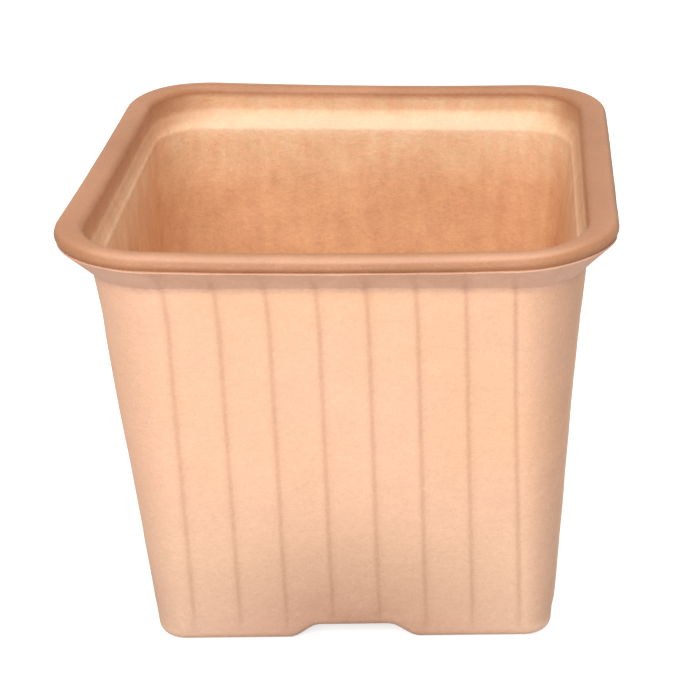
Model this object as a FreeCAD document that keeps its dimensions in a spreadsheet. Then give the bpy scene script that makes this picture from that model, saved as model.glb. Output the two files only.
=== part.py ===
"""A square plant pot moulded from one sheet of pressed fibre.

One section of the sheet, from the floor to the raw edge of the rolled rim, is extruded along
a side and turned round a corner. Ribs are raised on the side and the quarter is patterned
into the pot, which then gets its floor, the crossed drain channels and the drain holes.
X and Y lie across the pot, Z points up, and the origin is the middle of the footprint.
"""
import FreeCAD, Part
import Sketcher
import math
import os

# Driving dimensions, in millimetres. The rib count is the one plain number.
SIZES = {
    "rim_width": 180.0,             # across the raw edges of the rim
    "pot_height": 150.0,            # from the ground to the crown of the rim
    "sheet_thickness": 2.0,         # of the fibre, the same everywhere
    "wall_top_width": 158.5,        # across the walls where the collar begins
    "base_width": 134.5,            # across the walls at the ground
    "base_corner_radius": 9.5,      # of the upright corners, seen from above, at the ground
    "base_edge_radius": 4.0,        # between the walls and the floor, outside
    "rim_height": 15.5,             # from the top of the walls to the crown
    "collar_reach": 4.75,           # how far the collar leans out
    "collar_rise": 5.5,             # and how high it climbs
    "collar_bend_radius": 3.0,      # of the sheet's middle, wall to collar
    "ledge_bend_radius": 3.0,       # of the sheet's middle, collar to upright band
    "band_lean": 0.4,               # how far the upright band inside the rim leans out
    "crown_inner_radius": 2.0,      # of the sheet's middle, band to crown
    "crown_outer_radius": 1.6,      # of the sheet's middle, crown to skirt
    "skirt_depth": 5.7,             # from the crown to the underside of the lip
    "lip_reach": 1.2,               # how far the lip, folded to a crease, stands out of the skirt
    "rib_count": 8,                 # ribs on each side
    "rib_margin": 2.45,             # from the end ribs to where the corners begin
    "rib_width": 4.0,               # at the wall's outer face
    "rib_height": 0.7,              # proud of the wall's outer face
    "rib_foot_step": 0.15,          # blunt end left at the foot of a rib
    "channel_height": 5.0,          # clear height of a drain channel under the floor
    "channel_roof_width": 24.0,     # flat part of its roof
    "channel_shoulder": 10.0,       # width of each curved shoulder beside the roof
    "drain_hole_diameter": 12.0,
    "drain_hole_distance": 38.0,    # from the middle of the floor to an outer drain hole
    "cut_overrun": 3.0,             # how far a cutting profile reaches past what it cuts
}

HALF_SHEET = "(Sizes.sheet_thickness / 2)"
HALF_BASE = "(Sizes.base_width / 2)"
HALF_WALL = "(Sizes.wall_top_width / 2)"
HALF_RIM = "(Sizes.rim_width / 2)"
CORNER_CENTRE = f"({HALF_BASE} - Sizes.base_corner_radius)"
WALL_TOP = "(Sizes.pot_height - Sizes.rim_height)"
WALL_RUN = f"({HALF_WALL} - {HALF_BASE})"
WALL_RISE = f"({WALL_TOP} - {HALF_SHEET})"
WALL_LENGTH = f"sqrt({WALL_RUN} ^ 2 + {WALL_RISE} ^ 2)"
WALL_FOOT = f"({HALF_BASE} - {HALF_SHEET} - {WALL_RUN} / {WALL_RISE} * {HALF_SHEET})"
WALL_STRETCH = f"({WALL_LENGTH} / {WALL_RISE})"
FACE_OFFSET = f"({HALF_SHEET} * {WALL_STRETCH})"
RIB_FOOT = "(Sizes.base_edge_radius * (1 - 1 / sqrt(2)))"
RIB_TOP = f"({WALL_TOP} - Sizes.collar_bend_radius / 2)"
FIRST_RIB = f"({CORNER_CENTRE} - Sizes.rib_margin)"
RIB_ROOT = "(Sizes.sheet_thickness * 3 / 5)"
RIB_BULGE = "(((Sizes.rib_width / 2) ^ 2 + Sizes.rib_height ^ 2) / (2 * Sizes.rib_height))"

# The middle of the sheet as a chain of corners, each (outward, up) in a section through a
# side, from the floor to the raw edge.
SKIRT_OUT = f"({HALF_RIM} - Sizes.lip_reach - {HALF_SHEET})"
BAND_FOOT_OUT = f"({HALF_WALL} - {HALF_SHEET} + Sizes.collar_reach)"
CROWN_UP = f"(Sizes.pot_height - {HALF_SHEET})"
LIP_UP = f"(Sizes.pot_height - Sizes.skirt_depth + {HALF_SHEET})"
SECTION_CORNERS = [
    (CORNER_CENTRE, HALF_SHEET),
    (f"({HALF_BASE} - {HALF_SHEET})", HALF_SHEET),
    (f"({HALF_WALL} - {HALF_SHEET})", WALL_TOP),
    (BAND_FOOT_OUT, f"({WALL_TOP} + Sizes.collar_rise)"),
    (f"({BAND_FOOT_OUT} + Sizes.band_lean)", CROWN_UP),
    (SKIRT_OUT, CROWN_UP),
    (SKIRT_OUT, LIP_UP),
    (HALF_RIM, LIP_UP),
]
# The bends of the outer and the inner face there, by the radius of the sheet's middle. None is
# a crease: at the lip, in the hidden roll of the rim, and inside at the edge of the floor.
BASE_BEND = f"(Sizes.base_edge_radius - {HALF_SHEET})"
OUTER_BENDS = [BASE_BEND, "Sizes.collar_bend_radius", None, None, None, None]
INNER_BENDS = [
    None,
    "Sizes.collar_bend_radius",
    "Sizes.ledge_bend_radius",
    "Sizes.crown_inner_radius",
    "Sizes.crown_outer_radius",
    None,
]

# The centre of the bottom bend lies inside the wall's foot by the tangent that the lean leaves.
BASE_TANGENT = f"({BASE_BEND} * ({WALL_STRETCH} - {WALL_RUN} / {WALL_RISE}))"
BASE_CENTRE_OUT = f"({HALF_BASE} - {HALF_SHEET} - {BASE_TANGENT})"
RIB_FOOT_REACH = "((Sizes.base_edge_radius + Sizes.rib_foot_step) / sqrt(2))"

# The curved shoulder of a drain channel is two equal arcs, one up and one down.
SHOULDER_RADIUS = ("((Sizes.channel_shoulder ^ 2 + Sizes.channel_height ^ 2)"
                   " / (4 * Sizes.channel_height))")
ROOF_HALF = "(Sizes.channel_roof_width / 2)"
ROOF_ROOT = "(Sizes.sheet_thickness * 3 / 4)"
FOOT_HALF = f"({ROOF_HALF} + Sizes.channel_shoulder)"


def make_sizes(doc):
    """The spreadsheet of driving dimensions."""
    sheet = doc.addObject("Spreadsheet::Sheet", "Sizes")
    for row, (name, amount) in enumerate(SIZES.items(), start=1):
        sheet.set(f"A{row}", name)
        sheet.set(f"B{row}", str(amount))
        sheet.setAlias(f"B{row}", name)
    doc.recompute()
    return sheet


def value(owner, expression):
    """What an expression of the sheet's sizes comes to, as a plain number."""
    return float(owner.Document.getObject("Sizes").evalExpression(expression))


def origin_feature(body, role):
    """An origin plane or axis of the body, by its role."""
    return next(item for item in body.Origin.OriginFeatures if item.Role == role)


def new_sketch(body, name, plane, along=None, across=None, level=None):
    """A sketch on an origin plane, shifted in its own directions by expressions."""
    sketch = body.newObject("Sketcher::SketchObject", name)
    sketch.AttachmentSupport = [(origin_feature(body, plane), "")]
    sketch.MapMode = "FlatFace"
    for direction, expression in (("x", along), ("y", across), ("z", level)):
        if expression:
            sketch.setExpression(f"AttachmentOffset.Base.{direction}", expression)
    return sketch


def dimension(sketch, name, expression, kind, *place):
    """A named dimension of the sketch, held to an expression."""
    amount = value(sketch, expression)
    index = sketch.addConstraint(Sketcher.Constraint(kind, *place, amount))
    sketch.renameConstraint(index, name)
    sketch.setExpression(f"Constraints.{name}", expression)


def constrain(sketch, kind, *place):
    """A constraint with no dimension."""
    sketch.addConstraint(Sketcher.Constraint(kind, *place))


def middle_line(sketch, corners):
    """The middle of the sheet as construction lines, with every corner dimensioned."""
    points = [FreeCAD.Vector(value(sketch, out), value(sketch, up), 0) for out, up in corners]
    spans = []
    for first, second in zip(points, points[1:]):
        spans.append(sketch.addGeometry(Part.LineSegment(first, second), True))
    for first, second in zip(spans, spans[1:]):
        constrain(sketch, "Coincident", first, 2, second, 1)
    ends = [(span, 1) for span in spans] + [(spans[-1], 2)]
    for number, ((out, up), (span, end)) in enumerate(zip(corners, ends)):
        dimension(sketch, f"out_{number}", out, "DistanceX", -1, 1, span, end)
        dimension(sketch, f"up_{number}", up, "DistanceY", -1, 1, span, end)
    return points, spans


def headings(points, number):
    """The directions of the middle line before and after one of its corners."""
    before = (points[number] - points[number - 1]).normalize()
    after = (points[number + 1] - points[number]).normalize()
    return before, after


def bend_arc(points, number, radius, right):
    """The arc of one face round a corner of the middle line, and whether it turns left."""
    before, after = headings(points, number)
    turn = math.atan2(before.x * after.y - before.y * after.x, before.dot(after))
    left = turn > 0
    hand = 1 if left else -1
    tangent = points[number] - before * (radius * math.tan(abs(turn) / 2))
    centre = tangent + FreeCAD.Vector(-before.y, before.x, 0) * (hand * radius)
    face_radius = radius + hand * right
    start = math.atan2(-hand * before.x, hand * before.y)
    if left:
        angles = (start, start + turn)
    else:
        angles = (start + turn, start)
    circle = Part.Circle(centre, FreeCAD.Vector(0, 0, 1), face_radius)
    return Part.ArcOfCircle(circle, *angles), left


def crease_point(points, number, right):
    """The corner of one face where the sheet is folded to a crease."""
    before, after = headings(points, number)
    across = FreeCAD.Vector(before.y + after.y, -before.x - after.x, 0)
    return points[number] + across * (right / (1 + before.dot(after)))


def sheet_face(sketch, points, spans, bends, side, name):
    """One face of the sheet: lines beside the middle line, joined by tangent arcs or creases."""
    half = side * value(sketch, HALF_SHEET)
    arcs = {}
    starts = [points[0] + FreeCAD.Vector(0, -half, 0)]
    stops = []
    for number, bend in enumerate(bends, start=1):
        if bend is None:
            corner = crease_point(points, number, half)
            stops.append(corner)
            starts.append(corner)
            continue
        arc, left = bend_arc(points, number, value(sketch, bend), half)
        arcs[number] = (arc, left)
        stops.append(arc.StartPoint if left else arc.EndPoint)
        starts.append(arc.EndPoint if left else arc.StartPoint)
    last = (points[-1] - points[-2]).normalize()
    stops.append(points[-1] + FreeCAD.Vector(last.y, -last.x, 0) * half)
    lines = []
    for number, (span, start, stop) in enumerate(zip(spans, starts, stops)):
        line = sketch.addGeometry(Part.LineSegment(start, stop))
        constrain(sketch, "Parallel", line, span)
        dimension(sketch, f"{name}_{number}", HALF_SHEET, "Distance", line, 1, span)
        lines.append(line)
    for number, bend in enumerate(bends, start=1):
        if bend is None:
            constrain(sketch, "Coincident", lines[number - 1], 2, lines[number], 1)
            continue
        arc, left = arcs[number]
        bow = sketch.addGeometry(arc)
        near, far = (1, 2) if left else (2, 1)
        constrain(sketch, "Tangent", lines[number - 1], 2, bow, near)
        constrain(sketch, "Tangent", bow, far, lines[number], 1)
        sign = "+" if left == (side > 0) else "-"
        dimension(sketch, f"{name}_bend_{number}", f"{bend} {sign} {HALF_SHEET}", "Radius", bow)
    return lines


def close_end(sketch, outer, outer_end, inner, inner_end, span, span_end):
    """The end of the sheet, square to its middle line."""
    first = sketch.getPoint(outer, outer_end)
    second = sketch.getPoint(inner, inner_end)
    cap = sketch.addGeometry(Part.LineSegment(first, second))
    constrain(sketch, "Coincident", cap, 1, outer, outer_end)
    constrain(sketch, "Coincident", cap, 2, inner, inner_end)
    constrain(sketch, "Perpendicular", cap, span)
    constrain(sketch, "PointOnObject", span, span_end, cap)


def sheet_section(body, name, station=None, axis_out=None):
    """The section of the sheet, and the upright axis of a corner where one is asked for."""
    sketch = new_sketch(body, name, "XZ_Plane", level=station)
    if axis_out:
        out = value(sketch, axis_out)
        top = value(sketch, "Sizes.pot_height")
        line = Part.LineSegment(FreeCAD.Vector(out, 0, 0), FreeCAD.Vector(out, top, 0))
        axis = sketch.addGeometry(line, True)
        constrain(sketch, "Vertical", axis)
        constrain(sketch, "PointOnObject", axis, 1, -1)
        dimension(sketch, "axis_out", axis_out, "DistanceX", -1, 1, axis, 1)
        dimension(sketch, "axis_top", "Sizes.pot_height", "DistanceY", axis, 1, axis, 2)
    points, spans = middle_line(sketch, SECTION_CORNERS)
    outer = sheet_face(sketch, points, spans, OUTER_BENDS, 1, "outer")
    inner = sheet_face(sketch, points, spans, INNER_BENDS, -1, "inner")
    close_end(sketch, outer[0], 1, inner[0], 1, spans[0], 1)
    close_end(sketch, outer[-1], 2, inner[-1], 2, spans[-1], 2)
    return sketch


def make_side(body):
    """The side that faces +X, between the centres of its two corners."""
    side = body.newObject("PartDesign::Pad", "Side")
    side.Profile = sheet_section(body, "SideSection")
    side.SideType = "Symmetric"
    side.setExpression("Length", f"2 * {CORNER_CENTRE}")
    return side


def make_corner(body):
    """The corner between the +X side and the +Y side."""
    section = sheet_section(body, "CornerSection", f"-{CORNER_CENTRE}", CORNER_CENTRE)
    corner = body.newObject("PartDesign::Revolution", "Corner")
    corner.Profile = section
    corner.ReferenceAxis = (section, ["Axis0"])
    corner.Angle = 90
    return corner


def rib_profile(body):
    """The section of the first rib: an arc that swells out of the wall, square to its lean."""
    face = f"{WALL_FOOT} + {FACE_OFFSET} + {RIB_FOOT} * {WALL_RUN} / {WALL_RISE}"
    sketch = new_sketch(body, "RibProfile", "XY_Plane", face, f"-{FIRST_RIB}", RIB_FOOT)
    lean = f"atan({WALL_RUN} / {WALL_RISE})"
    turned = FreeCAD.Rotation(FreeCAD.Vector(0, 1, 0), value(sketch, lean))
    sketch.AttachmentOffset = FreeCAD.Placement(FreeCAD.Vector(), turned)
    sketch.setExpression("AttachmentOffset.Rotation.Angle", lean)
    half = value(sketch, "Sizes.rib_width / 2")
    height = value(sketch, "Sizes.rib_height")
    back = value(sketch, RIB_ROOT)
    radius = (half ** 2 + height ** 2) / (2 * height)
    swing = math.asin(half / radius)
    circle = Part.Circle(FreeCAD.Vector(height - radius, 0, 0), FreeCAD.Vector(0, 0, 1), radius)
    arc = sketch.addGeometry(Part.ArcOfCircle(circle, -swing, swing))
    corners = [(0, half), (-back, half), (-back, -half), (0, -half)]
    places = [FreeCAD.Vector(out, across, 0) for out, across in corners]
    lines = []
    for first, second in zip(places, places[1:]):
        lines.append(sketch.addGeometry(Part.LineSegment(first, second)))
    constrain(sketch, "Coincident", arc, 2, lines[0], 1)
    constrain(sketch, "Coincident", lines[0], 2, lines[1], 1)
    constrain(sketch, "Coincident", lines[1], 2, lines[2], 1)
    constrain(sketch, "Coincident", lines[2], 2, arc, 1)
    constrain(sketch, "Horizontal", lines[0])
    constrain(sketch, "Vertical", lines[1])
    constrain(sketch, "Horizontal", lines[2])
    constrain(sketch, "PointOnObject", arc, 3, -1)
    constrain(sketch, "PointOnObject", arc, 1, -2)
    constrain(sketch, "PointOnObject", arc, 2, -2)
    dimension(sketch, "width", "Sizes.rib_width", "DistanceY", arc, 1, arc, 2)
    dimension(sketch, "root", RIB_ROOT, "DistanceX", lines[0], 2, lines[0], 1)
    dimension(sketch, "bulge", RIB_BULGE, "Radius", arc)
    return sketch


def make_ribs(body):
    """Ribs that stand out of the side, from the bottom bend up to the collar."""
    rib = body.newObject("PartDesign::Pad", "Rib")
    rib.Profile = rib_profile(body)
    rib.setExpression("Length", f"({RIB_TOP} - {RIB_FOOT}) * {WALL_STRETCH}")
    body.Document.recompute()
    row = body.newObject("PartDesign::LinearPattern", "Ribs")
    row.Originals = [rib]
    row.Direction = (origin_feature(body, "Y_Axis"), [""])
    row.setExpression("Length", f"2 * {FIRST_RIB}")
    row.setExpression("Occurrences", "Sizes.rib_count")
    body.Tip = row
    return row


def taper_rib_feet(body):
    """Cut the feet of the ribs on a slant, down to the middle of the sheet's bottom bend."""
    sketch = new_sketch(body, "RibFootProfile", "XZ_Plane")
    foot_out = f"({BASE_CENTRE_OUT} + {RIB_FOOT_REACH})"
    foot_up = f"(Sizes.base_edge_radius - {RIB_FOOT_REACH})"
    reach = f"({HALF_BASE} + Sizes.cut_overrun)"
    slant_top = f"({foot_up} + Sizes.cut_overrun)"
    near = value(sketch, foot_out)
    far = value(sketch, reach)
    low = value(sketch, foot_up)
    high = value(sketch, slant_top)
    below = -value(sketch, "Sizes.cut_overrun")
    places = [(near, low), (near, below), (far, below), (far, high)]
    spots = [FreeCAD.Vector(x, y, 0) for x, y in places]
    lines = []
    for first, second in zip(spots, spots[1:] + spots[:1]):
        lines.append(sketch.addGeometry(Part.LineSegment(first, second)))
    for first, second in zip(lines, lines[1:] + lines[:1]):
        constrain(sketch, "Coincident", first, 2, second, 1)
    constrain(sketch, "Vertical", lines[0])
    constrain(sketch, "Horizontal", lines[1])
    constrain(sketch, "Vertical", lines[2])
    dimension(sketch, "foot_out", foot_out, "DistanceX", -1, 1, lines[0], 1)
    dimension(sketch, "foot_up", foot_up, "DistanceY", -1, 1, lines[0], 1)
    dimension(sketch, "below", "Sizes.cut_overrun", "DistanceY", lines[0], 2, -1, 1)
    dimension(sketch, "reach", reach, "DistanceX", -1, 1, lines[2], 1)
    dimension(sketch, "slant_top", slant_top, "DistanceY", -1, 1, lines[2], 2)
    cut = body.newObject("PartDesign::Pocket", "RibFeet")
    cut.Profile = sketch
    cut.SideType = "Symmetric"
    cut.setExpression("Length", f"2 * {CORNER_CENTRE}")
    return cut


def make_all_sides(body):
    """The quarter of the pot made so far, four times round."""
    body.Document.recompute()
    sides = body.newObject("PartDesign::PolarPattern", "FourSides")
    sides.TransformMode = "Whole shape"
    sides.Axis = (origin_feature(body, "Z_Axis"), [""])
    sides.Angle = 360
    sides.Occurrences = 4
    body.Tip = sides
    return sides


def make_floor(body):
    """The flat floor between the corner centres."""
    sketch = new_sketch(body, "FloorOutline", "XY_Plane")
    half = value(sketch, CORNER_CENTRE)
    corners = [(-half, -half), (half, -half), (half, half), (-half, half)]
    places = [FreeCAD.Vector(x, y, 0) for x, y in corners]
    lines = []
    for number, place in enumerate(places):
        following = places[(number + 1) % len(places)]
        lines.append(sketch.addGeometry(Part.LineSegment(place, following)))
    for number, line in enumerate(lines):
        constrain(sketch, "Coincident", line, 2, lines[(number + 1) % len(lines)], 1)
    for number, line in enumerate(lines):
        constrain(sketch, "Vertical" if number % 2 else "Horizontal", line)
    constrain(sketch, "Symmetric", lines[0], 1, lines[2], 1, -1, 1)
    dimension(sketch, "width", f"2 * {CORNER_CENTRE}", "DistanceX", lines[0], 1, lines[0], 2)
    dimension(sketch, "depth", f"2 * {CORNER_CENTRE}", "DistanceY", lines[1], 1, lines[1], 2)
    floor = body.newObject("PartDesign::Pad", "Floor")
    floor.Profile = sketch
    floor.setExpression("Length", "Sizes.sheet_thickness")
    return floor


def channel_profile(body, name, lift, below):
    """The outline of a drain channel, its roof lifted by so much over the clear space.

    Each shoulder is an arc that falls from the roof and an arc that runs out into the foot.
    """
    sketch = new_sketch(body, name, "XZ_Plane")
    shoulder = value(sketch, SHOULDER_RADIUS)
    thick = value(sketch, lift)
    roof = value(sketch, ROOF_HALF)
    foot = value(sketch, FOOT_HALF)
    height = value(sketch, "Sizes.channel_height")
    bottom = -value(sketch, below)
    swing = math.asin((foot - roof) / 2 / shoulder)
    upright = math.pi / 2
    upward = FreeCAD.Vector(0, 0, 1)
    falls = []
    for hand in (-1, 1):
        over = Part.Circle(FreeCAD.Vector(hand * roof, height - shoulder, 0), upward, shoulder + thick)
        under = Part.Circle(FreeCAD.Vector(hand * foot, shoulder, 0), upward, shoulder - thick)
        if hand > 0:
            first = Part.ArcOfCircle(over, upright - swing, upright)
            second = Part.ArcOfCircle(under, -upright - swing, -upright)
        else:
            first = Part.ArcOfCircle(over, upright, upright + swing)
            second = Part.ArcOfCircle(under, -upright, -upright + swing)
        falls.append((sketch.addGeometry(first), sketch.addGeometry(second)))
    left, right = falls
    rows = [
        ((-roof, height + thick), (roof, height + thick)),
        ((foot, thick), (foot, bottom)),
        ((foot, bottom), (-foot, bottom)),
        ((-foot, bottom), (-foot, thick)),
    ]
    lines = []
    for first, second in rows:
        line = Part.LineSegment(FreeCAD.Vector(*first, 0), FreeCAD.Vector(*second, 0))
        lines.append(sketch.addGeometry(line))
    top, right_end, base, left_end = lines
    constrain(sketch, "Tangent", top, 2, right[0], 2)
    constrain(sketch, "Tangent", right[0], 1, right[1], 1)
    constrain(sketch, "Perpendicular", right[1], 2, right_end, 1)
    constrain(sketch, "Coincident", right_end, 2, base, 1)
    constrain(sketch, "Coincident", base, 2, left_end, 1)
    constrain(sketch, "Perpendicular", left_end, 2, left[1], 1)
    constrain(sketch, "Tangent", left[1], 2, left[0], 2)
    constrain(sketch, "Tangent", left[0], 1, top, 1)
    constrain(sketch, "Vertical", right_end)
    constrain(sketch, "Vertical", left_end)
    constrain(sketch, "Symmetric", top, 1, top, 2, -2)
    constrain(sketch, "Symmetric", base, 1, base, 2, -2)
    dimension(sketch, "roof", "Sizes.channel_roof_width", "DistanceX", top, 1, top, 2)
    dimension(sketch, "foot", f"2 * {FOOT_HALF}", "DistanceX", base, 2, base, 1)
    dimension(sketch, "roof_up", f"Sizes.channel_height + {lift}", "DistanceY", -1, 1, top, 2)
    dimension(sketch, "below", below, "DistanceY", base, 1, -1, 1)
    for side, (over, under) in (("right", right), ("left", left)):
        dimension(sketch, f"{side}_over", f"{SHOULDER_RADIUS} + {lift}", "Radius", over)
        dimension(sketch, f"{side}_under", f"{SHOULDER_RADIUS} - {lift}", "Radius", under)
    return sketch


def crossed(body, name, feature):
    """A feature along Y, repeated along X."""
    body.Document.recompute()
    cross = body.newObject("PartDesign::PolarPattern", name)
    cross.Originals = [feature]
    cross.Axis = (origin_feature(body, "Z_Axis"), [""])
    cross.Angle = 90
    cross.Occurrences = 2
    body.Tip = cross
    return cross


def make_channels(body):
    """Two drain channels that cross under the floor and open as a notch in every side."""
    roof = body.newObject("PartDesign::Pad", "ChannelRoof")
    roof.Profile = channel_profile(body, "RoofProfile", "Sizes.sheet_thickness", f"-{ROOF_ROOT}")
    roof.SideType = "Symmetric"
    roof.setExpression("Length", f"2 * ({HALF_BASE} - {HALF_SHEET})")
    crossed(body, "ChannelRoofs", roof)
    channel = body.newObject("PartDesign::Pocket", "Channel")
    channel.Profile = channel_profile(body, "ChannelProfile", "0", "Sizes.cut_overrun")
    channel.SideType = "Symmetric"
    channel.setExpression("Length", "Sizes.rim_width")
    return crossed(body, "Channels", channel)


def drain_hole(body, name, distance):
    """One round hole through the channel roof, this far along X."""
    sketch = new_sketch(body, name + "Outline", "XY_Plane", along=distance)
    radius = value(sketch, "Sizes.drain_hole_diameter / 2")
    circle = sketch.addGeometry(Part.Circle(FreeCAD.Vector(), FreeCAD.Vector(0, 0, 1), radius))
    constrain(sketch, "Coincident", circle, 3, -1, 1)
    dimension(sketch, "diameter", "Sizes.drain_hole_diameter", "Diameter", circle)
    hole = body.newObject("PartDesign::Pocket", name)
    hole.Profile = sketch
    hole.Reversed = True
    hole.setExpression("Length", "Sizes.channel_height + Sizes.sheet_thickness + Sizes.cut_overrun")
    return hole


def make_drain_holes(body):
    """One hole in the middle of the floor and one in each arm of the channels."""
    drain_hole(body, "MiddleHole", None)
    outer = drain_hole(body, "ArmHole", "Sizes.drain_hole_distance")
    body.Document.recompute()
    holes = body.newObject("PartDesign::PolarPattern", "ArmHoles")
    holes.Originals = [outer]
    holes.Axis = (origin_feature(body, "Z_Axis"), [""])
    holes.Angle = 360
    holes.Occurrences = 4
    body.Tip = holes
    return holes


def moulded_pot(doc):
    """The whole pot: one sheet of fibre, formed in one mould."""
    body = doc.addObject("PartDesign::Body", "MouldedPot")
    body.Label = "moulded_pot"
    make_side(body)
    make_corner(body)
    make_ribs(body)
    taper_rib_feet(body)
    make_all_sides(body)
    make_floor(body)
    make_channels(body)
    make_drain_holes(body)
    return body


def check(doc, pieces):
    """Stop on a failed object, a cut that cuts nothing, a loose sketch or a bad solid."""
    for item in doc.Objects:
        if {"Invalid", "Error"} & set(item.State):
            raise RuntimeError(f"{item.Label} failed")
        if item.isDerivedFrom("Sketcher::SketchObject") and not item.FullyConstrained:
            raise RuntimeError(f"{item.Label} is not fully constrained")
        if item.isDerivedFrom("PartDesign::Pocket"):
            if item.Shape.Volume >= item.BaseFeature.Shape.Volume:
                raise RuntimeError(f"{item.Label} cuts nothing")
    for piece in pieces:
        if piece.Shape.isNull() or not piece.Shape.isValid():
            raise RuntimeError(f"{piece.Label} is not a valid shape")
        if len(piece.Shape.Solids) != 1:
            raise RuntimeError(f"{piece.Label} is not one solid")


def main():
    doc = FreeCAD.newDocument("Pot")
    make_sizes(doc)
    pieces = [moulded_pot(doc)]
    doc.recompute()
    check(doc, pieces)
    os.makedirs("parts", exist_ok=True)
    for piece in pieces:
        piece.Shape.exportStep(f"parts/{piece.Label}.step")
        print(piece.Label, round(piece.Shape.Volume), piece.Shape.BoundBox)


main()
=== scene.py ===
"""Visual model of a square plant pot of moulded fibre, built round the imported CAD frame.

The pot is one closed skin over a 2 mm sheet. A section runs from the middle drain hole out under the floor,
up the wall, round the rolled rim and back down inside. It is carried round a ring of four flat sides and four
round corners. Lengths are in millimetres up to the mesh, which is in metres.
"""
import math

import bmesh
import bpy
import numpy as np
from mathutils import Matrix, Vector, noise


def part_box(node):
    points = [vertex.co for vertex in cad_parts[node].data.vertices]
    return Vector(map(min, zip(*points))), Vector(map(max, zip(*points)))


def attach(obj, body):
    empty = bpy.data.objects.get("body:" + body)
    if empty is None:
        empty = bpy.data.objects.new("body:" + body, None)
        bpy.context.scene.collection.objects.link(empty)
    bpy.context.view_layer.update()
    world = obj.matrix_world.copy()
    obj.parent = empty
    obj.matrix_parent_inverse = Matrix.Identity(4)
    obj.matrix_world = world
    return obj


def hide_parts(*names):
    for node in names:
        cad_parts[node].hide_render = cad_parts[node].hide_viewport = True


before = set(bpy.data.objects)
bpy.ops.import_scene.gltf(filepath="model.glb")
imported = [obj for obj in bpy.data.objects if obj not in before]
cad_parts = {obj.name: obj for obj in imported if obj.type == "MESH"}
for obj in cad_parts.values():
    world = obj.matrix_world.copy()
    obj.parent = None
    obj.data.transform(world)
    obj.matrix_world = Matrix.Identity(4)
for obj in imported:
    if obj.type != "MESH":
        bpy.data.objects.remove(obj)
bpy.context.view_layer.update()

NODE = "moulded_pot"
MM = 0.001

# Sizes of the pot. The rim and the height come from the frame.
_, node_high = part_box(NODE)
RIM_HALF = node_high[0] / MM
POT_HEIGHT = node_high[2] / MM
SHEET = 2.0
BASE_HALF = 67.25
WALL_TOP_HALF = 79.25
CORNER_CENTRE = 57.75
FLOOR_CORNER_RADIUS = 6.0
RIM_HEIGHT = 15.5
COLLAR_REACH = 4.75
COLLAR_RISE = 5.5
BAND_LEAN = 0.4
SKIRT_DEPTH = 5.7
LIP_REACH = 1.2

RIB_COUNT = 8
RIB_PITCH = 15.8
RIB_HALF_WIDTH = 2.0
RIB_HEIGHT = 0.75
INNER_MARK_DEPTH = 0.1

CHANNEL_HEIGHT = 5.0
CHANNEL_ROOF_HALF = 12.0
CHANNEL_SHOULDER = 10.0
CHANNEL_FADE = 15.0
CHANNEL_CARRY_POWER = 6

DRAIN_RADIUS = 6.0
DRAIN_DISTANCE = 38.0
DRAIN_SEGMENTS = 64
PUNCH_DEPTH = 30.0

# The bead of the rim, with the raw edge of the sheet as a thin ridge under it.
RIDGE_OUT = 89.25
RIDGE_LOW = 144.6
RIDGE_HIGH = 144.88
BEAD_FOOT = (88.6, 145.05)
BEAD_SIDE = (89.9, 147.0)
BEAD_SPREAD = 2.3
SPREAD_FACING = (0.3, 1.0)

# Corners of the section's loop, by number. The outer face runs from the middle hole to the ridge, and the
# inner face runs back.
(UNDER_HOLE, UNDER_BASE, OUT_WALL_TOP, LIP_LOW, LIP_HIGH, SKIRT_FOOT, SKIRT_SIDE,
 CROWN_OUT, CROWN_IN, IN_COLLAR_TOP, IN_WALL_TOP, IN_BASE, OVER_HOLE) = range(13)

# The radius of each corner's arc, and how far apart the points are on the run after it.
HOLE_RADIUS = 0.4
BASE_EDGE_RADIUS = 4.0
COLLAR_RADIUS = 3.0
RIDGE_RADIUS = 0.12
LOOP_BENDS = {
    UNDER_HOLE: (HOLE_RADIUS, 2.6),
    UNDER_BASE: (BASE_EDGE_RADIUS, 2.1),
    OUT_WALL_TOP: (1.0, 0.8),
    LIP_LOW: (RIDGE_RADIUS, 0.3),
    LIP_HIGH: (RIDGE_RADIUS, 0.3),
    SKIRT_FOOT: (RIDGE_RADIUS, 0.4),
    SKIRT_SIDE: (1.5, 0.4),
    CROWN_OUT: (2.0, 0.5),
    CROWN_IN: (2.8, 0.8),
    IN_COLLAR_TOP: (COLLAR_RADIUS, 0.8),
    IN_WALL_TOP: (COLLAR_RADIUS, 2.1),
    IN_BASE: (2.6, 2.6),
    OVER_HOLE: (HOLE_RADIUS, 0.7),
}
ARC_STEP = math.radians(11.0)

# Points across a rib as shares of its half width, the points between two ribs, and the steps round a corner.
RIB_POINTS = np.array([-2.3, -1.75, -1.2, -0.6, 0.0, 0.6, 1.2, 1.75, 2.3]) / 2.3
GAP_POINTS = 7
CORNER_STEPS = 20

# Profiles along the section: places in the loop, and the share of a form or a colour at each. The last share
# carries on to the end of the loop, which is why a little of the collar's painted shade lies under all the
# inside.
RIB_ROWS = [(UNDER_BASE, 0.0), (UNDER_BASE + 0.045, 1.0), (OUT_WALL_TOP - 0.02, 1.0), (OUT_WALL_TOP, 0.6),
            (OUT_WALL_TOP + 0.5, 0.25), (LIP_LOW, 0.0)]
INNER_MARK_ROWS = [(IN_WALL_TOP, 0.0), (IN_WALL_TOP + 0.03, 1.0), (IN_BASE - 0.05, 1.0), (IN_BASE, 0.0)]
SPREAD_ROWS = [(CROWN_OUT + 0.4, 0.0), (CROWN_IN, 1.0), (IN_COLLAR_TOP, 0.9), (IN_WALL_TOP, 0.0)]
RAW_EDGE_ROWS = [(OUT_WALL_TOP + 0.7, 0.0), (LIP_LOW, 1.0), (LIP_HIGH, 1.0), (SKIRT_FOOT, 0.0)]
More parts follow.
